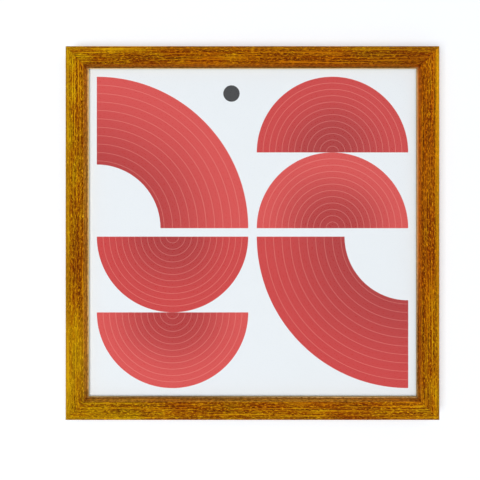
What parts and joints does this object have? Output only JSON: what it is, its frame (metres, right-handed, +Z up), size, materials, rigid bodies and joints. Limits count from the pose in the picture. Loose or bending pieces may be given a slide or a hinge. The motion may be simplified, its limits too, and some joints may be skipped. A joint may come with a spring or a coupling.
{
  "type": "record sleeve frame",
  "caption": "Square gilt picture frame for a twelve-inch record sleeve, with a clear pane, printed sheet, hardboard back, turn buttons and a toothed wall hanger.",
  "frame": {"origin": "the middle notch of the hanger, brought back to the wall plane, where a wall nail holds the frame", "axes": "+Y points back into the wall, the front faces -Y, +Z is up, +X is to the right as seen from the front"},
  "size_m": [0.35, 0.0213, 0.35],
  "materials": {
    "gilt_moulding": "brushed antique gilt over brown, bare wood at the back",
    "clear_pane": "polished",
    "printed_paper": "satin coated paper with a printed design",
    "fluted_card": "matt brown fluted card",
    "hardboard": "matt pressed fibre board",
    "brassed_steel": "thin bright plating on stamped steel",
    "zinc_steel": "bright zinc plating",
    "felt": "dense dark felt"
  },
  "bodies": {
    "frame": {"top_rail": "gilt_moulding", "bottom_rail": "gilt_moulding", "left_rail": "gilt_moulding", "right_rail": "gilt_moulding", "v_nail_bottom_left_outer": "zinc_steel", "v_nail_bottom_left_inner": "zinc_steel", "v_nail_top_left_outer": "zinc_steel", "v_nail_top_left_inner": "zinc_steel", "v_nail_top_right_outer": "zinc_steel", "v_nail_top_right_inner": "zinc_steel", "v_nail_bottom_right_outer": "zinc_steel", "v_nail_bottom_right_inner": "zinc_steel", "glass_pane": "clear_pane", "printed_sheet": "printed_paper", "filler_pad": "fluted_card", "backing_board": "hardboard", "button_screw_bottom_left": "zinc_steel", "button_screw_bottom_right": "zinc_steel", "button_screw_left_upper": "zinc_steel", "button_screw_left_lower": "zinc_steel", "button_screw_top_left": "zinc_steel", "button_screw_top_right": "zinc_steel", "button_screw_right_upper": "zinc_steel", "button_screw_right_lower": "zinc_steel", "toothed_hanger": "brassed_steel", "hanger_nail_left": "zinc_steel", "hanger_nail_right": "zinc_steel", "wall_bumper_left": "felt", "wall_bumper_right": "felt"},
    "button_bottom_left": {"turn_button_bottom_left": "brassed_steel"},
    "button_bottom_right": {"turn_button_bottom_right": "brassed_steel"},
    "button_left_upper": {"turn_button_left_upper": "brassed_steel"},
    "button_left_lower": {"turn_button_left_lower": "brassed_steel"},
    "button_top_left": {"turn_button_top_left": "brassed_steel"},
    "button_top_right": {"turn_button_top_right": "brassed_steel"},
    "button_right_upper": {"turn_button_right_upper": "brassed_steel"},
    "button_right_lower": {"turn_button_right_lower": "brassed_steel"}
  },
  "joints": [
    {"name": "turn_bottom_left", "type": "hinge", "parent": "frame", "child": "button_bottom_left", "pos_m": [-0.09, -0.0026, -0.33125], "axis": [0, 1, 0], "continuous": true},
    {"name": "turn_bottom_right", "type": "hinge", "parent": "frame", "child": "button_bottom_right", "pos_m": [0.09, -0.0026, -0.33125], "axis": [0, 1, 0], "continuous": true},
    {"name": "turn_left_upper", "type": "hinge", "parent": "frame", "child": "button_left_upper", "pos_m": [-0.16725, -0.0026, -0.074], "axis": [0, 1, 0], "continuous": true},
    {"name": "turn_left_lower", "type": "hinge", "parent": "frame", "child": "button_left_lower", "pos_m": [-0.16725, -0.0026, -0.254], "axis": [0, 1, 0], "continuous": true},
    {"name": "turn_top_left", "type": "hinge", "parent": "frame", "child": "button_top_left", "pos_m": [-0.09, -0.0026, 0.00325], "axis": [0, 1, 0], "continuous": true},
    {"name": "turn_top_right", "type": "hinge", "parent": "frame", "child": "button_top_right", "pos_m": [0.09, -0.0026, 0.00325], "axis": [0, 1, 0], "continuous": true},
    {"name": "turn_right_upper", "type": "hinge", "parent": "frame", "child": "button_right_upper", "pos_m": [0.16725, -0.0026, -0.074], "axis": [0, 1, 0], "continuous": true},
    {"name": "turn_right_lower", "type": "hinge", "parent": "frame", "child": "button_right_lower", "pos_m": [0.16725, -0.0026, -0.254], "axis": [0, 1, 0], "continuous": true}
  ]
}
